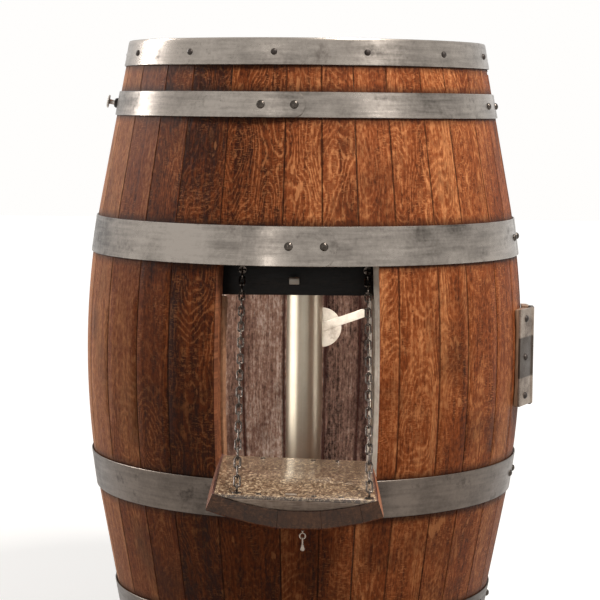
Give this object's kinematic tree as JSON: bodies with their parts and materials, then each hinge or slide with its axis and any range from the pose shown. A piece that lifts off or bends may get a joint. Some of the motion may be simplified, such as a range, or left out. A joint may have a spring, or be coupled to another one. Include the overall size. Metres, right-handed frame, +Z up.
{
  "type": "barrel bar cabinet",
  "caption": "Upright staved oak barrel made into a drinks cabinet: steel hoops, a drop-down front flap held by chains as a serving ledge, a steel post inside and a side door on one hinge.",
  "frame": {"origin": "point on the floor under the barrel's axis", "axes": "+Z up along the barrel axis, front with the hatch towards -Y, side door towards +X"},
  "size_m": [0.6697, 0.9546, 0.9163],
  "materials": {
    "oak": "waxed oak with open grain",
    "inner_wood": "plain sawn wood",
    "grey_wood": "grey weathered wood",
    "dark_wood": "black stained wood",
    "galvanised": "dull galvanised steel with scuffs",
    "dark_iron": "dark iron",
    "zinc": "zinc plated steel",
    "chain_steel": "darkened steel wire",
    "satin_steel": "satin steel tube",
    "pale_plastic": "cream paint"
  },
  "bodies": {
    "barrel": {"bilge_hoop_lower": "galvanised", "bilge_hoop_upper": "galvanised", "bottom_boards": "oak", "ceiling_board": "inner_wood", "door_catch": "pale_plastic", "flap_catch": "pale_plastic", "floor_board": "inner_wood", "hatch_fixed_leaves": "zinc", "hatch_pins": "zinc", "head_hoop_lower": "galvanised", "head_hoop_upper": "galvanised", "head_nails": "dark_iron", "header_board": "dark_wood", "hoop_bolts": "zinc", "hoop_rivets": "galvanised", "jamb_strips": "inner_wood", "left_knob": "zinc", "post": "satin_steel", "post_arm": "pale_plastic", "post_flanges": "satin_steel", "post_plate": "pale_plastic", "quarter_hoop_lower": "galvanised", "quarter_hoop_upper": "galvanised", "shelf_blocks": "inner_wood", "side_fixed_bolts": "zinc", "side_fixed_leaf": "zinc", "side_fixed_packing": "inner_wood", "side_pin": "zinc", "stave_notched": "oak", "staves_above_door": "oak", "staves_above_hatch": "oak", "staves_back": "oak", "staves_below_door": "oak", "staves_below_hatch": "oak", "staves_left": "oak", "staves_right": "oak", "top_boards": "oak", "upper_eyes": "chain_steel"},
    "flap": {"flap_staves": "oak", "flap_lining": "inner_wood", "flap_front_cleat": "grey_wood", "flap_rear_cleat": "grey_wood", "cleat_screws": "dark_iron", "hatch_moving_leaves": "zinc", "lower_eyes": "chain_steel", "flap_strike": "zinc", "pull_eye": "chain_steel"},
    "side_door": {"door_staves": "oak", "door_battens": "inner_wood", "door_hoops": "galvanised", "door_bolts": "zinc", "side_moving_leaf": "zinc", "side_moving_packing": "inner_wood", "side_moving_bolts": "zinc", "door_knob": "zinc"},
    "pull": {"pull": "chain_steel"},
    "upper_chain_left": {"chain_upper_left": "chain_steel"},
    "upper_chain_right": {"chain_upper_right": "chain_steel"},
    "lower_chain_left": {"chain_lower_left": "chain_steel"},
    "lower_chain_right": {"chain_lower_right": "chain_steel"}
  },
  "joints": [
    {"name": "flap_hinge", "type": "hinge", "parent": "barrel", "child": "flap", "pos_m": [0, -0.32753, 0.299], "axis": [-1, 0, 0], "range_deg": [0, 90], "deforming": ["chain_upper_left", "chain_upper_right", "chain_lower_left", "chain_lower_right"]},
    {"name": "side_door_hinge", "type": "hinge", "parent": "barrel", "child": "side_door", "pos_m": [0.33646, -0.06131, 0.457], "axis": [0, 0, -1], "range_deg": [0, 110]},
    {"name": "pull_swing", "type": "hinge", "parent": "flap", "child": "pull", "pos_m": [0, -0.61713, 0.29352], "axis": [-1, 0, 0], "range_deg": [-90, 90]},
    {"name": "upper_chain_left_swing", "type": "hinge", "parent": "barrel", "child": "upper_chain_left", "pos_m": [-0.08696, -0.25874, 0.5951], "axis": [-1, 0, 0], "range_deg": [-57.7, 2]},
    {"name": "upper_chain_right_swing", "type": "hinge", "parent": "barrel", "child": "upper_chain_right", "pos_m": [0.08696, -0.25874, 0.5951], "axis": [-1, 0, 0], "range_deg": [-57.7, 2]},
    {"name": "lower_chain_left_swing", "type": "hinge", "parent": "flap", "child": "lower_chain_left", "pos_m": [-0.08113, -0.61313, 0.356], "axis": [-1, 0, 0], "range_deg": [-2, 36.3]},
    {"name": "lower_chain_right_swing", "type": "hinge", "parent": "flap", "child": "lower_chain_right", "pos_m": [0.08159, -0.61313, 0.3506], "axis": [-1, 0, 0], "range_deg": [-2, 36.3]}
  ],
  "couplings": [
    {"joint": "upper_chain_left_swing", "follows": "flap_hinge", "ratio": -0.6188},
    {"joint": "upper_chain_right_swing", "follows": "flap_hinge", "ratio": -0.6188},
    {"joint": "lower_chain_left_swing", "follows": "flap_hinge", "ratio": 0.3812},
    {"joint": "lower_chain_right_swing", "follows": "flap_hinge", "ratio": 0.3812}
  ]
}
